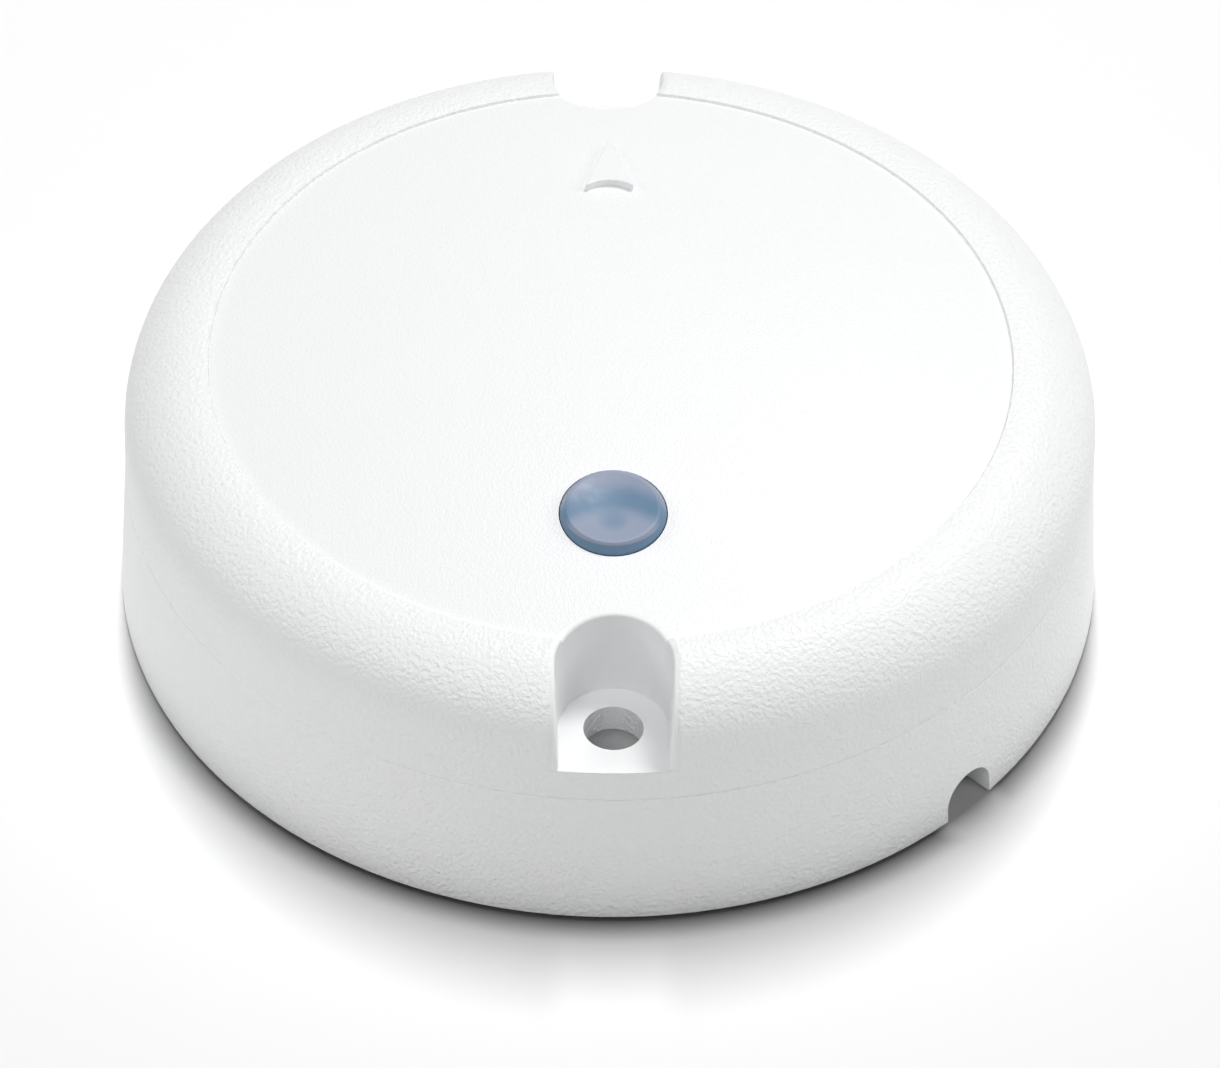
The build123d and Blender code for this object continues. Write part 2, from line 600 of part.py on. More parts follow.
def header():
    """Socket for the lead under the board: an open shell and its pins."""
    x, y, length, width, height = HEADER
    low = BOARD_Z - height
    shell = bar(x, y, length, width, low, BOARD_Z)
    shell -= bar(x, y, length - 2 * HEADER_WALL, width - 2 * HEADER_WALL, low, BOARD_Z - HEADER_WALL)
    pins = []
    for index in range(HEADER_PINS):
        along = x + (index - (HEADER_PINS - 1) / 2) * HEADER_PITCH
        shell -= rod(HEADER_PIN_RADIUS + FIT_GAP, low, BOARD_Z, (along, y))
        pins.append(rod(HEADER_PIN_RADIUS, low + HEADER_WALL, BOARD_Z, (along, y)))
    return shell, pins


# ---- Switch ----------------------------------------------------------------------
def switch_pieces():
    """Tactile switch under the button: body, top plate, feet and plunger."""
    at = (0, BUTTON_Y)
    body = bar(*at, SWITCH_SIZE, SWITCH_SIZE, BOARD_TOP, SWITCH_TOP)
    body -= rod(SWITCH_WELL_RADIUS, SWITCH_TOP - SWITCH_WELL_DEPTH, SWITCH_TOP, at)
    plate_top = SWITCH_TOP + PLATE_THICKNESS
    plate = bar(*at, SWITCH_SIZE, SWITCH_SIZE, SWITCH_TOP, plate_top)
    plate -= rod(PLUNGER_RADIUS + PLUNGER_GAP, SWITCH_TOP, plate_top, at)
    feet = []
    for side in (-1, 1):
        for end in (-1, 1):
            x = side * (SWITCH_SIZE + TERMINAL_REACH) / 2
            y = BUTTON_Y + end * TERMINAL_SPREAD / 2
            foot_top = BOARD_TOP + TERMINAL_THICKNESS
            feet.append(bar(x, y, TERMINAL_REACH, TERMINAL_WIDTH, BOARD_TOP, foot_top))
    collar_top = SWITCH_TOP - COLLAR_DROP
    plunger = rod(PLUNGER_RADIUS, collar_top - COLLAR_THICKNESS, PLUNGER_TOP, at)
    plunger += rod(COLLAR_RADIUS, collar_top - COLLAR_THICKNESS, collar_top, at)
    return body, plate, feet, plunger


# ---- Button ----------------------------------------------------------------------
def cap_top(dome_here):
    """The cap's proud part: a leaning flank up to a tilted rim, with a finger hollow."""
    tilt = Pos(0, BUTTON_Y, dome_here) * Rot(BUTTON_TILT, 0, 0)
    slope = BUTTON_TOP_INSET / BUTTON_PROUD
    rim_radius = CAP_RADIUS - BUTTON_TOP_INSET
    skirt_radius = CAP_RADIUS + slope * BUTTON_SKIRT
    flank = spun(
        Polyline(
            (0, -BUTTON_SKIRT),
            (skirt_radius, -BUTTON_SKIRT),
            (rim_radius, BUTTON_PROUD),
            (0, BUTTON_PROUD),
            close=True,
        )
    )
    rim = flank.edges().filter_by(GeomType.CIRCLE).sort_by(Axis.Z)[-1]
    flank = fillet(rim, BUTTON_EDGE)
    hollow_radius = rim_radius - BUTTON_RIM
    ball = (hollow_radius**2 + BUTTON_DISH**2) / (2 * BUTTON_DISH)
    dish = Pos(0, 0, BUTTON_PROUD + ball - BUTTON_DISH) * Sphere(ball)
    return tilt * (flank - dish)


def button_cap():
    """Clear cap: dished top, body in the sleeve, stop flange below, hollow with a stem."""
    at = (0, BUTTON_Y)
    dome_here = dome_z(abs(BUTTON_Y))
    middle = dome_here - BUTTON_SKIRT / 2
    body = rod(CAP_RADIUS, middle, TALL, at) & cap_top(dome_here)
    body += rod(CAP_RADIUS, FLANGE_Z, middle, at)
    body += rod(FLANGE_RADIUS, FLANGE_Z, FLANGE_TOP, at)
    ceiling = dome_here + BUTTON_PROUD - BUTTON_DISH - BUTTON_ROOF
    body -= tube(BUTTON_CORE_RADIUS, STEM_RADIUS, FLANGE_Z, ceiling, at)
    body -= rod(STEM_RADIUS, FLANGE_Z, STEM_Z, at)
    low = FLANGE_TOP + RING_ABOVE_FLANGE
    high = low + RING_SECTION + 2 * RING_GROOVE_GAP
    return body - tube(CAP_RADIUS + OVERRUN, ring_inner_radius(), low, high, at)


def ring_inner_radius():
    """Floor of the groove for the sealing ring."""
    return CAP_RADIUS - RING_SECTION - RING_GROOVE_GAP


def button_seal():
    """Sealing ring in the cap's groove."""
    middle = FLANGE_TOP + RING_ABOVE_FLANGE + RING_GROOVE_GAP + RING_SECTION / 2
    return Pos(0, BUTTON_Y, middle) * Torus(CAP_RADIUS - RING_SECTION / 2, RING_SECTION / 2)


def lamps():
    """Two indicator lamps that shine up through the cap."""
    length, width, height = LAMP_SIZE
    top = BOARD_TOP + height
    return [bar(side * LAMP_X, BUTTON_Y, length, width, BOARD_TOP, top) for side in (-1, 1)]


def main():
    os.makedirs("parts", exist_ok=True)
    save(top_cover(), "top_cover")
    save(base(), "base")
    save(cable_gland(), "cable_gland")
    save(housing_seal(), "housing_seal")
    save_group(housing_screws(), "housing_screws")
    save_group(screw_seals(), "screw_seals")
    save(circuit_board(), "circuit_board")
    save_group(board_screws(), "board_screws")
    for name, piece in zip(("pad", "ceramic", "patch", "feed_pin"), antenna_pieces()):
        save(piece, f"antenna_{name}")
    carrier, can = radio_module()
    save(carrier, "radio_carrier")
    save(can, "radio_shield")
    save(chip(*RECEIVER_CAN), "receiver_shield")
    save(chip(*PROCESSOR), "processor")
    save(chip(*COMPASS_CHIP), "compass_chip")
    save(chip(*MOTION_CHIP), "motion_chip")
    save(chip(*REGULATOR), "voltage_regulator")
    save(chip(*CHOKE, edge=CHOKE_EDGE), "power_choke")
    save(chip(*CRYSTAL), "crystal")
    save_group(capacitors(), "filter_capacitors")
    shell, pins = header()
    save(shell, "header_shell")
    save_group(pins, "header_pins")
    body, plate, feet, plunger = switch_pieces()
    save(body, "switch_body")
    save(plate, "switch_plate")
    save_group(feet, "switch_feet")
    save(plunger, "switch_plunger")
    save_group(lamps(), "status_lamps")
    save(button_cap(), "button_cap")
    save(button_seal(), "button_seal")
    print("disc radius", round(DISC_RADIUS, 2), "crest height", round(CREST_Z, 2))


main()
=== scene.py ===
# %% [markdown]
# # A deck-mounted GNSS receiver
#
# The object is a low white puck, 94 mm across, that two screws hold to a deck.
# A cover and a base are moulded in white plastic, and a smoky blue button sits in the cover.
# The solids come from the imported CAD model, whose surfaces are already fine enough to show.
# This script gives each of them its finish, and it lights and frames the whole.

import json
import math

import bpy
from mathutils import Matrix, Vector


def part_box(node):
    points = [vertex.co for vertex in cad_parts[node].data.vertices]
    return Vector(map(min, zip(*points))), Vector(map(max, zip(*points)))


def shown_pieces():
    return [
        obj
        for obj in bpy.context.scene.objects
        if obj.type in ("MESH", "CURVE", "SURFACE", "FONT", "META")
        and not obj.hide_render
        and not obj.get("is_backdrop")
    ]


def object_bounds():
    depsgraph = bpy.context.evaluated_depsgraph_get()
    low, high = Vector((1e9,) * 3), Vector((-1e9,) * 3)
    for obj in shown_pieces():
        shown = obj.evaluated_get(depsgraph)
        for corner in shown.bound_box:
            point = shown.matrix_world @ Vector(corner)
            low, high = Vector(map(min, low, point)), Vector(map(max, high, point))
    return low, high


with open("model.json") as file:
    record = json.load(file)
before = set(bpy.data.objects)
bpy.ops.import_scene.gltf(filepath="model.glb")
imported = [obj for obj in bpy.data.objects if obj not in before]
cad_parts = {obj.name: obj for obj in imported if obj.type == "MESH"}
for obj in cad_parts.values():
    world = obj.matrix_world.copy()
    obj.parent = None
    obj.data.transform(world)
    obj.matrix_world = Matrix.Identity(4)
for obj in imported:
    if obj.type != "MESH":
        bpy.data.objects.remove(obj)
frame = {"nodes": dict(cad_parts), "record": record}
nodes = frame["nodes"]
cad_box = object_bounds()
print("model box in mm:", [[round(1000 * v, 2) for v in corner] for corner in cad_box])

# %% [markdown]
# ## Camera
#
# A long lens from far away keeps the puck's circles close to true ellipses, as in a catalogue picture.
# The camera is placed by its distance, its height above the horizon, a small turn and a small roll.
# Its matrix is built from three axes, which is exact and needs no constraint to aim it.

# %% Camera
LENS = 206.56              # mm, on a sensor 36 mm wide
DISTANCE = 0.6734
ELEVATION = math.radians(44.33)
TURN = math.radians(1.0)
ROLL = math.radians(0.8)
AIM = Vector((0.00014, 0.0, 0.00378))


def place_camera():
    """Camera axes: backward from the elevation, right and up rolled about it, all turned about Z."""
    right = Vector((1, 0, 0))
    up = Vector((0, math.sin(ELEVATION), math.cos(ELEVATION)))
    back = Vector((0, -math.cos(ELEVATION), math.sin(ELEVATION)))
    rolled_right = math.cos(ROLL) * right + math.sin(ROLL) * up
    rolled_up = math.cos(ROLL) * up - math.sin(ROLL) * right
    axes = Matrix((rolled_right, rolled_up, back)).transposed().to_4x4()
    turned = Matrix.Rotation(-TURN, 4, "Z")
    data = bpy.data.cameras.new("camera")
    data.lens = LENS
    data.sensor_width = 36
    data.clip_start = 0.01
    data.clip_end = 10
    camera = bpy.data.objects.new("camera", data)
    bpy.context.scene.collection.objects.link(camera)
    camera.matrix_world = turned @ Matrix.Translation(AIM + DISTANCE * back) @ axes
    bpy.context.scene.camera = camera
    return camera


camera = place_camera()
bpy.context.scene.view_settings.view_transform = "Standard"
print("camera at", [round(v, 4) for v in camera.matrix_world.translation])

# %% [markdown]
# ## How the finishes are built
#
# A finish starts as the Principled shader with its plain numbers set on its own sockets. What varies
# over the surface is then computed by nodes and linked in. Adding each node by hand takes many lines,
# so a small class keeps the shader and its node tree together and adds one node per call.

# %% Helpers for finishes
MM = 0.001


def finish(name, colour, roughness, metallic=0.0, **more):
    """A Principled finish. What is the same all over sits on the shader's own sockets."""
    material = bpy.data.materials.new(name)
    material.use_nodes = True
    shader = material.node_tree.nodes["Principled BSDF"]
    shader.inputs["Base Color"].default_value = (*colour[:3], 1.0)
    shader.inputs["Roughness"].default_value = roughness
    shader.inputs["Metallic"].default_value = metallic
    for socket, value in more.items():
        shader.inputs[socket.replace("_", " ")].default_value = value
    return material


class Finish:
    """Short hands for adding nodes to one material."""

    def __init__(self, material):
        self.material = material
        self.tree = material.node_tree
        self.shader = self.tree.nodes["Principled BSDF"]

    def node(self, kind, **values):
        """A node with some inputs set: a value, or another node's output to follow."""
        made = self.tree.nodes.new("ShaderNode" + kind)
        for name, value in values.items():
            if hasattr(made, name) and name not in made.inputs:
                setattr(made, name, value)
                continue
            socket = made.inputs[int(name[1:])] if name[0] == "i" and name[1:].isdigit() else made.inputs[name]
            if isinstance(value, bpy.types.NodeSocket):
                self.tree.links.new(value, socket)
            else:
                socket.default_value = value
        return made

    def maths(self, operation, *inputs):
        """One step of arithmetic on values or outputs."""
        values = {f"i{k}": value for k, value in enumerate(inputs)}
        return self.node("Math", operation=operation, **values).outputs[0]

    def place(self):
        """Each point's own place on the piece, in metres."""
        return self.node("TexCoord").outputs["Object"]

    def ramp(self, value, low, high, start=0.0, end=1.0, smooth=True):
        """A value carried from low..high to start..end, held outside."""
        kind = "SMOOTHSTEP" if smooth else "LINEAR"
        made = self.node("MapRange", interpolation_type=kind, Value=value)
        for name, number in (("From Min", low), ("From Max", high), ("To Min", start), ("To Max", end)):
            made.inputs[name].default_value = number
        return made.outputs["Result"]

    def noise(self, place, size, detail=2.0, roughness=0.5):
        """Noise whose lumps are about that many metres wide."""
        made = self.node("TexNoise", Vector=place, Scale=1 / size, Detail=detail, Roughness=roughness)
        return made.outputs[0]

    def bump(self, height, depth, onto=None):
        """Tilts the surface as if it stood up by depth metres where height is one."""
        made = self.node("Bump", Height=height, Distance=depth, Strength=1.0)
        if onto is not None:
            self.tree.links.new(onto, made.inputs["Normal"])
        self.tree.links.new(made.outputs["Normal"], self.shader.inputs["Normal"])
        return made.outputs["Normal"]

    def feed(self, output, socket):
        """Drives one of the shader's sockets."""
        self.tree.links.new(output, self.shader.inputs[socket])


print("one millimetre is", MM, "metres")

# %% [markdown]
# ## Floor
#
# Catalogue pictures of white parts stand on a white floor that runs out of sight.
# One flat sheet, larger than the view, does that. It is a stage piece, so it is no part of the object.
# The lamps cast the real shadow on it. Just at the rim, where hardly any light gets in under the flared
# skirt, soft lamps leave the floor too pale, so a painted contact shadow darkens its white there. A ramp on
# the distance from the rim paints this shade in front, and it fades out towards the sides and beside the cable
# notch.

# %% Floor
FLOOR_SIZE = 6.0
FLOOR_WHITE = (0.95, 0.95, 0.95)
RIM_RADIUS = cad_box[1].x
CONTACT_REACH = 3.2 * MM
CONTACT_DARK = 0.76
NOTCH_TURN = math.radians(45.5)
NOTCH_MOUTH = (RIM_RADIUS * math.sin(NOTCH_TURN), -RIM_RADIUS * math.cos(NOTCH_TURN), 0)


def flat_square(name, size, height):
    """A flat square: x = u, y = v, z = height, for u and v from -size/2 to size/2."""
    half = size / 2
    corners = [(-half, -half, height), (half, -half, height), (half, half, height), (-half, half, height)]
    mesh = bpy.data.meshes.new(name)
    mesh.from_pydata(corners, [], [(0, 1, 2, 3)])
    piece = bpy.data.objects.new(name, mesh)
    bpy.context.scene.collection.objects.link(piece)
    return piece


def floor_white():
    """White times one less a painted contact shadow: near the rim, times in front, times away from the notch.
    """
    white = Finish(finish("studio_floor_white", FLOOR_WHITE, 0.9, Specular_IOR_Level=0.0))
    place = white.place()
    y = white.node("SeparateXYZ", Vector=place).outputs["Y"]
    from_axis = white.node("VectorMath", operation="LENGTH", i0=place).outputs["Value"]
    from_notch = white.node("VectorMath", operation="DISTANCE", i0=place, i1=NOTCH_MOUTH).outputs["Value"]
    inner, outer = RIM_RADIUS - CONTACT_REACH * 0.25, RIM_RADIUS + CONTACT_REACH
    near = white.ramp(from_axis, inner, outer, CONTACT_DARK, 0.0)
    in_front = white.ramp(y, -0.95 * RIM_RADIUS, -0.05 * RIM_RADIUS, 1.0, 0.0)
    beside_notch = white.ramp(from_notch, 2.6 * MM, 4.8 * MM)
    # The painted contact shadow: darkest at the rim in front, none at the sides or beside the notch.
    dark = white.maths("MULTIPLY", white.maths("MULTIPLY", near, beside_notch), in_front)
    left = white.maths("SUBTRACT", 1.0, dark)
    shaded = white.node("VectorMath", operation="SCALE", i0=FLOOR_WHITE, Scale=left)
    white.feed(shaded.outputs[0], "Base Color")
    return white.material


floor = flat_square("studio_floor", FLOOR_SIZE, cad_box[0].z)
floor.data.materials.append(floor_white())
floor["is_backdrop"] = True
print("floor at height", round(cad_box[0].z, 5))

# %% [markdown]
# ## Lamps and sky
#
# The light is a dim even sky plus a few large soft lamps. The main one hangs behind and to the right,
# so the top is bright, the front falls into a light grey, and the slot's wall is shaded.
# Fills from the front and both sides keep the grey from going dull. The floor has a lamp of its own,
# tall and narrow and nearly overhead: its height gives the soft edge of the shadow in front, and its
# narrowness lets the shadow run out at the sides.

# %% Lamps and sky
SKY = 0.13


def soft_lamp(name, place, size, power, tall=None, aim=(0, 0, 0.015)):
    """A lamp of that width and height in metres, at a place, turned to face the aim."""
    data = bpy.data.lights.new(name, "AREA")
    data.shape = "RECTANGLE"
    data.size = size
    data.size_y = tall or size
    data.energy = power
    lamp = bpy.data.objects.new(name, data)
    lamp.location = place
    lamp.rotation_mode = "QUATERNION"
    lamp.rotation_quaternion = (Vector(place) - Vector(aim)).to_track_quat("Z", "Y")
    bpy.context.scene.collection.objects.link(lamp)
    return lamp


def seen_rays(tree):
    """One for rays from the eye, from a mirror or through glass, and nothing for the rest."""
    path = tree.nodes.new("ShaderNodeLightPath")
    largest = path.outputs["Is Camera Ray"]
    for ray in ("Is Glossy Ray", "Is Transmission Ray"):
        either = tree.nodes.new("ShaderNodeMath")
        either.operation = "MAXIMUM"
        tree.links.new(largest, either.inputs[0])
        tree.links.new(path.outputs[ray], either.inputs[1])
        largest = either.outputs[0]
    return largest


def sky(strength):
    """An even pale sky that the eye, mirrors and glass see as pure white."""
    world = bpy.data.worlds.new("studio_sky")
    bpy.context.scene.world = world
    world.use_nodes = True
    tree = world.node_tree
    background = tree.nodes["Background"]
    background.inputs["Color"].default_value = (1, 1, 1, 1)
    level = tree.nodes.new("ShaderNodeMapRange")
    tree.links.new(seen_rays(tree), level.inputs["Value"])
    level.inputs["To Min"].default_value = strength
    level.inputs["To Max"].default_value = 1.0
    tree.links.new(level.outputs["Result"], background.inputs["Strength"])


def around(azimuth, elevation, distance=1.5):
    """A place seen from the object: degrees from +X towards +Y, and degrees above the floor."""
    turn, rise = math.radians(azimuth), math.radians(elevation)
    flat = math.cos(rise) * distance
    return (flat * math.cos(turn), flat * math.sin(turn), math.sin(rise) * distance)


sky(SKY)
floor_lamp = soft_lamp("floor_light", around(90, 75), 0.16, 21.0, tall=0.8)
object_lamps = [
    soft_lamp("main_light", around(50, 64), 0.45, 11.6),
    soft_lamp("front_fill", around(-105, 58), 0.7, 7.0),
    soft_lamp("right_fill", around(0, 35), 0.6, 4.8),
    soft_lamp("left_fill", around(180, 30), 0.6, 4.2),
]
print("lamps:", [light.name for light in bpy.data.lights])

# %% [markdown]
# ## Moulded white plastic
#
# The mould of such a housing is spark-eroded: the tool's steel is pitted, and the plastic takes that skin.
# The shoulder and the sides carry a coarse, leathery grain, the domed disc a finer one,
# and the screw slots, which a polished core makes, are smooth.
# A picture of grain wrapped round the part would stretch over the shoulder, so the grain is a noise
# in space, read at each point's own place, and it only tilts the surface: a bump, not a colour.

# %% White housing finish
WHITE = (0.88, 0.885, 0.89)
GRAIN_DEPTH = 0.16 * MM
SLOT_HALF = 5.45 * MM
SCREW_Y = frame["record"]["mounts"][0]["dims"]["spacing_y_mm"] / 2 * MM
LEDGE = 18.5 * MM
DISC_RADIUS = 37.68 * MM


def hypotenuse(made, a, b):
    """The square root of a squared plus b squared."""
    return made.maths("SQRT", made.maths("ADD", made.maths("MULTIPLY", a, a), made.maths("MULTIPLY", b, b)))


def housing_white():
    """White plastic: coarse grain outside, fine grain on the disc, none in the slots."""
    white = Finish(finish("white_housing_plastic", WHITE, 0.42))
    place = white.place()
    split = white.node("SeparateXYZ", Vector=place)
    x, y, z = split.outputs
    across = white.maths("ABSOLUTE", x)
    along = white.maths("MAXIMUM", white.maths("SUBTRACT", SCREW_Y, white.maths("ABSOLUTE", y)), 0.0)
    from_slot = hypotenuse(white, across, along)
    beside_slot = white.ramp(from_slot, SLOT_HALF + 0.1 * MM, SLOT_HALF + 0.6 * MM)
    under_ledge = white.ramp(z, LEDGE - 0.1 * MM, LEDGE + 0.05 * MM, 1.0, 0.0)
    outside = white.maths("MAXIMUM", beside_slot, under_ledge)
    from_axis = hypotenuse(white, x, y)
    off_disc = white.ramp(from_axis, DISC_RADIUS - 0.05 * MM, DISC_RADIUS + 0.15 * MM)
    coarse = white.noise(place, 0.42 * MM, 1.5, 0.45)
    fine = white.noise(place, 0.24 * MM, 1.0, 0.5)
    coarse_height = white.maths("MULTIPLY", coarse, off_disc)
    fine_height = white.maths("MULTIPLY", fine, white.ramp(off_disc, 0.0, 1.0, 0.35, 0.25))
    height = white.maths("MULTIPLY", white.maths("ADD", coarse_height, fine_height), outside)
    white.bump(height, GRAIN_DEPTH)
    patches = white.noise(place, 9 * MM, 3.0)
    white.feed(white.ramp(patches, 0.3, 0.7, 0.38, 0.48), "Roughness")
    return white.material


FINISHES = {"white_housing": housing_white()}
print("first finish:", list(FINISHES))

# %% [markdown]
# ## The button's smoky blue plastic
#
# The button is a tinted, slightly cloudy cap with a satin skin. Its flank is deep blue and its dish a
# pale lilac, but for a deeper arc across the upper half, which is the dish's shading painted in. Real
# absorption would need glass and light below the cap, which is slow and noisy. The tint is instead mixed by
# the distance from that painted shade arc, a parabola that hangs from the button's own axis.

# %% Button finish
BUTTON_LOW, BUTTON_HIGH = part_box("button_cap")
BUTTON_X = (BUTTON_LOW[0] + BUTTON_HIGH[0]) / 2
BUTTON_Y = (BUTTON_LOW[1] + BUTTON_HIGH[1]) / 2
BUTTON_DEEP = (0.135, 0.225, 0.34, 1.0)
BUTTON_PALE = (0.29, 0.335, 0.44, 1.0)
# Where the painted shade arc runs across the dish, and how fast it bends away to the sides.
SHADE_ARC_MIDDLE = 1.3 * MM
SHADE_ARC_BEND = 110.0           # how fast the arc falls away to the sides, per metre


def button_blue():
    """Deep blue flank and a painted shade arc across the dish, pale lilac above and below it, a little cloudy.
    """
    blue = Finish(finish("button_smoky_blue", BUTTON_DEEP, 0.42, Specular_IOR_Level=0.35))
    place = blue.place()
    x, y, z = blue.node("SeparateXYZ", Vector=place).outputs
    from_x = blue.maths("SUBTRACT", x, BUTTON_X)
    from_y = blue.maths("SUBTRACT", y, BUTTON_Y)
    cloud = blue.maths("SUBTRACT", blue.noise(place, 2.2 * MM, 2.0), 0.5)
    # Distance from the painted shade arc, which stands in for the dish's shading.
    bend = blue.maths("MULTIPLY", blue.maths("MULTIPLY", from_x, from_x), SHADE_ARC_BEND)
    from_shade_arc = blue.maths("SUBTRACT", blue.maths("ADD", from_y, bend), SHADE_ARC_MIDDLE)
    uneven = blue.maths("ADD", blue.maths("ABSOLUTE", from_shade_arc), blue.maths("MULTIPLY", cloud, 0.8 * MM))
    pale = blue.ramp(uneven, 0.3 * MM, 2.4 * MM)
    on_top = blue.ramp(z, BUTTON_HIGH[2] - 1.1 * MM, BUTTON_HIGH[2] - 0.9 * MM)
    amount = blue.maths("MULTIPLY", pale, on_top)
    tint = blue.node("Mix", data_type="RGBA", Factor=amount, A=BUTTON_DEEP, B=BUTTON_PALE)
    blue.feed(tint.outputs["Result"], "Base Color")
    blue.feed(blue.ramp(blue.noise(place, 0.9 * MM), 0.3, 0.7, 0.38, 0.48), "Roughness")
    blue.bump(blue.noise(place, 0.35 * MM, 2.0), 0.006 * MM)
    return blue.material


FINISHES["button_clear"] = button_blue()
print("button axis in mm:", round(1000 * BUTTON_X, 2), round(1000 * BUTTON_Y, 2))

# %% [markdown]
# ## Finishes of the pieces inside and below
#
# Most small finishes share one recipe: a colour that drifts between two near tones, a roughness that
# drifts with it, and a fine relief. What tells rubber from tin is the size of that relief and its depth,
# so one helper takes them as numbers, and special finishes add to it.

# %% A finish that drifts
def drifting(name, dark, light, size, depth, rough, metallic=0.0, stretch=(1, 1, 1), **more):
    """Colour, roughness and relief from one noise of that size; stretch draws it out, as brushing does."""
    made = Finish(finish(name, dark, rough[0], metallic, **more))
    place = made.node("Mapping", Vector=made.place())
    place.inputs["Scale"].default_value = stretch
    place = place.outputs["Vector"]
    relief = made.noise(place, size, 3.0, 0.6)
    patch = made.noise(place, size * 14, 2.0)
    half_relief = made.maths("MULTIPLY", relief, 0.5)
    half_patch = made.maths("MULTIPLY", patch, 0.5)
    blend = made.ramp(made.maths("ADD", half_relief, half_patch), 0.35, 0.65)
    tint = made.node("Mix", data_type="RGBA", Factor=blend, A=(*dark, 1.0), B=(*light, 1.0))
    made.feed(tint.outputs["Result"], "Base Color")
    made.feed(made.ramp(patch, 0.3, 0.7, *rough), "Roughness")
    made.bump(relief, depth)
    made.tint, made.relief = tint.outputs["Result"], relief
    return made


rubber = drifting("gland_black_rubber", (0.018, 0.018, 0.019), (0.034, 0.034, 0.036),
                  0.3 * MM, 0.03 * MM, (0.5, 0.72))
seal = drifting("seal_grey_rubber", (0.05, 0.052, 0.055), (0.085, 0.088, 0.09),
                0.25 * MM, 0.02 * MM, (0.55, 0.75))
foam = drifting("foam_tape", (0.6, 0.6, 0.58), (0.78, 0.78, 0.75), 0.22 * MM, 0.09 * MM, (0.85, 0.98))
FINISHES.update(black_rubber=rubber.material, seal_rubber=seal.material, foam_tape=foam.material)
print("soft finishes:", rubber.material.name, seal.material.name, foam.material.name)

# %% [markdown]
# ## Metals
#
# Metal has no colour of its own below the shine, so Metallic is 1 and the base colour tints the mirror.
# Screws and pins are fairly smooth. Tin sheet and drawn aluminium show fine lines, so their noise is
# drawn out along one direction by the stretch.

# %% Metals
steel = drifting("screw_stainless", (0.5, 0.5, 0.5), (0.64, 0.635, 0.63),
                 0.12 * MM, 0.008 * MM, (0.2, 0.36), 1.0)
silver = drifting("fired_silver", (0.72, 0.7, 0.66), (0.86, 0.85, 0.82),
                  0.09 * MM, 0.012 * MM, (0.3, 0.5), 1.0)
tin = drifting("shield_tin", (0.55, 0.56, 0.57), (0.72, 0.73, 0.73),
               0.1 * MM, 0.006 * MM, (0.24, 0.42), 1.0, (0.08, 1, 1))
can = drifting("capacitor_aluminium", (0.66, 0.67, 0.68), (0.8, 0.8, 0.81),
               0.1 * MM, 0.006 * MM, (0.22, 0.36), 1.0, (1, 1, 0.1))
gold = drifting("pin_gold", (0.78, 0.52, 0.2), (0.92, 0.66, 0.3), 0.08 * MM, 0.003 * MM, (0.14, 0.28), 1.0)
FINISHES.update(screw_steel=steel.material, silver=silver.material, shield_tin=tin.material)
FINISHES.update(can_aluminium=can.material, gold_pin=gold.material)
print("metals:", [made.material.name for made in (steel, silver, tin, can, gold)])

# %% [markdown]
# ## Ceramics, chips and plastics
#
# Fired ceramic and ferrite are dull and slightly rough, moulded epoxy is a fine matt black, and nylon is
# a waxy cream. The status lamps are clear lenses, so part of their light passes through.

# %% Ceramics, chips and plastics
fired = drifting("antenna_ceramic", (0.62, 0.55, 0.43), (0.74, 0.68, 0.56),
                 0.12 * MM, 0.015 * MM, (0.5, 0.7))
chip = drifting("chip_epoxy", (0.016, 0.016, 0.017), (0.03, 0.03, 0.032), 0.09 * MM, 0.01 * MM, (0.42, 0.6))
core = drifting("choke_ferrite", (0.045, 0.043, 0.042), (0.085, 0.08, 0.078),
                0.14 * MM, 0.02 * MM, (0.5, 0.72))
nylon = drifting("header_nylon", (0.7, 0.66, 0.54), (0.8, 0.77, 0.66), 0.2 * MM, 0.01 * MM, (0.36, 0.52))
lever = drifting("switch_black", (0.02, 0.02, 0.022), (0.035, 0.035, 0.037),
                 0.12 * MM, 0.008 * MM, (0.3, 0.45))
lens = drifting("lamp_lens", (0.72, 0.74, 0.7), (0.86, 0.87, 0.83), 0.3 * MM, 0.003 * MM, (0.08, 0.18),
                Transmission_Weight=0.6, IOR=1.5)
FINISHES.update(ceramic=fired.material, chip_black=chip.material, ferrite=core.material)
FINISHES.update(header_nylon=nylon.material, switch_black=lever.material, lamp_clear=lens.material)
print("plastics:", [made.material.name for made in (fired, chip, core, nylon, lever, lens)])

# %% [markdown]
# ## Circuit board
#
# A board is glass cloth in resin under green solder mask, with copper tracks that stand a little proud.
# Tracks run in straight lanes and turn at right angles. A brick pattern with narrow joints, crossed by
# a second one turned a quarter, gives such lanes, and the weave of the cloth is a fine crossed wave.

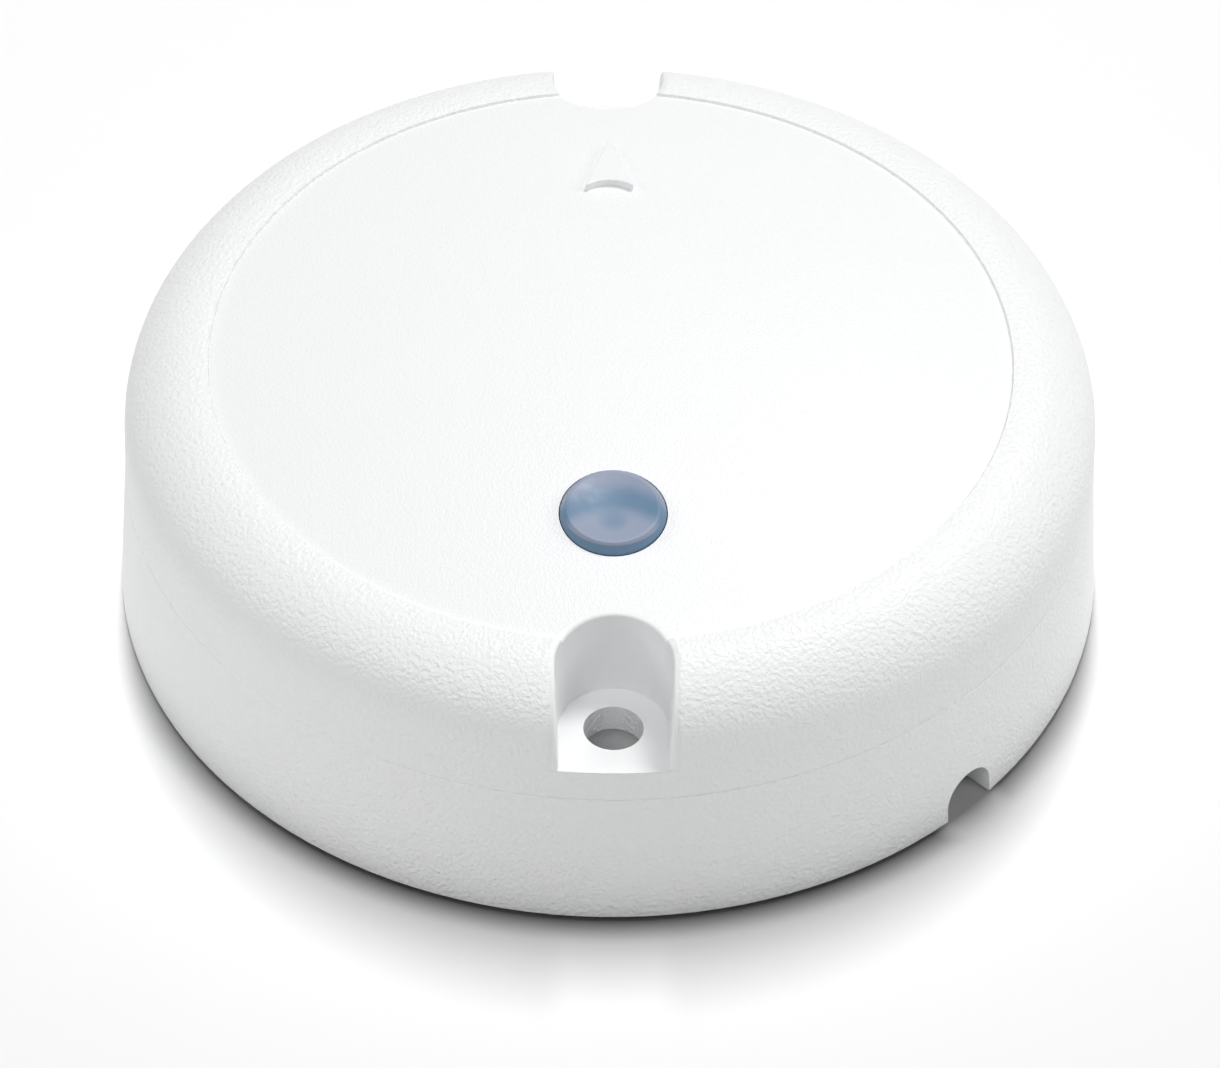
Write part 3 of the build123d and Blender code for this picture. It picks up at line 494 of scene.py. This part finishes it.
# %% Board finish
def board():
    """Green mask: raised lanes from two crossed brick patterns, over a woven ground."""
    green = drifting("board_green_mask", (0.012, 0.085, 0.035), (0.02, 0.13, 0.055),
                     0.3 * MM, 0.004 * MM, (0.24, 0.36))
    lanes = []
    for turn in (0.0, math.pi / 2):
        turned = green.node("Mapping", Vector=green.place())
        turned.inputs["Rotation"].default_value = (0, 0, turn)
        brick = green.node("TexBrick", Vector=turned.outputs["Vector"])
        for name, value in (("Scale", 1.0), ("Mortar Size", 0.11 * MM), ("Mortar Smooth", 0.3),
                            ("Brick Width", 7.4 * MM), ("Row Height", 1.27 * MM)):
            brick.inputs[name].default_value = value
        lanes.append(brick.outputs["Fac"])
    track = green.maths("MAXIMUM", *lanes)
    tint = green.node("Mix", data_type="RGBA", Factor=track, A=green.tint, B=(0.03, 0.2, 0.075, 1.0))
    green.feed(tint.outputs["Result"], "Base Color")
    green.bump(green.maths("ADD", track, green.maths("MULTIPLY", green.relief, 0.15)), 0.035 * MM)
    return green.material


FINISHES["board_green"] = board()
print("finishes made:", len(FINISHES))


# %% [markdown]
# ## Handing out the finishes
#
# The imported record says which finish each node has. Every node keeps its own mesh, and only the
# material in its slot changes, so nothing moves and no shape is touched.

# %% Hand out the finishes
slots = {part["node"]: part["material_slot"] for part in frame["record"]["subparts"]}
for name, node in nodes.items():
    for slot in node.material_slots:
        slot.material = FINISHES[slots[name]]
print("nodes dressed:", len(nodes), "without a finish:", set(slots.values()) - set(FINISHES))

# %% [markdown]
# ## Which lamp lights what
#
# A white part on a white floor needs a dark shadow under a bright side, and lamps that fill the side
# would wash that shadow out. Light linking keeps the two apart: the lamps for the object reach only its
# pieces, and the floor's lamp only the floor. The shadows that the pieces cast are not changed by it.

# %% Which lamp lights what
def lights_only(lamp, name, pieces):
    """Light linking: the lamp's light falls on these pieces alone."""
    group = bpy.data.collections.new(name)
    for piece in pieces:
        group.objects.link(piece)
    lamp.light_linking.receiver_collection = group


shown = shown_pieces()
for lamp in object_lamps:
    lights_only(lamp, "lit_by_" + lamp.name, shown)
lights_only(floor_lamp, "lit_by_floor_light", [floor])
print("pieces lit:", len(shown))
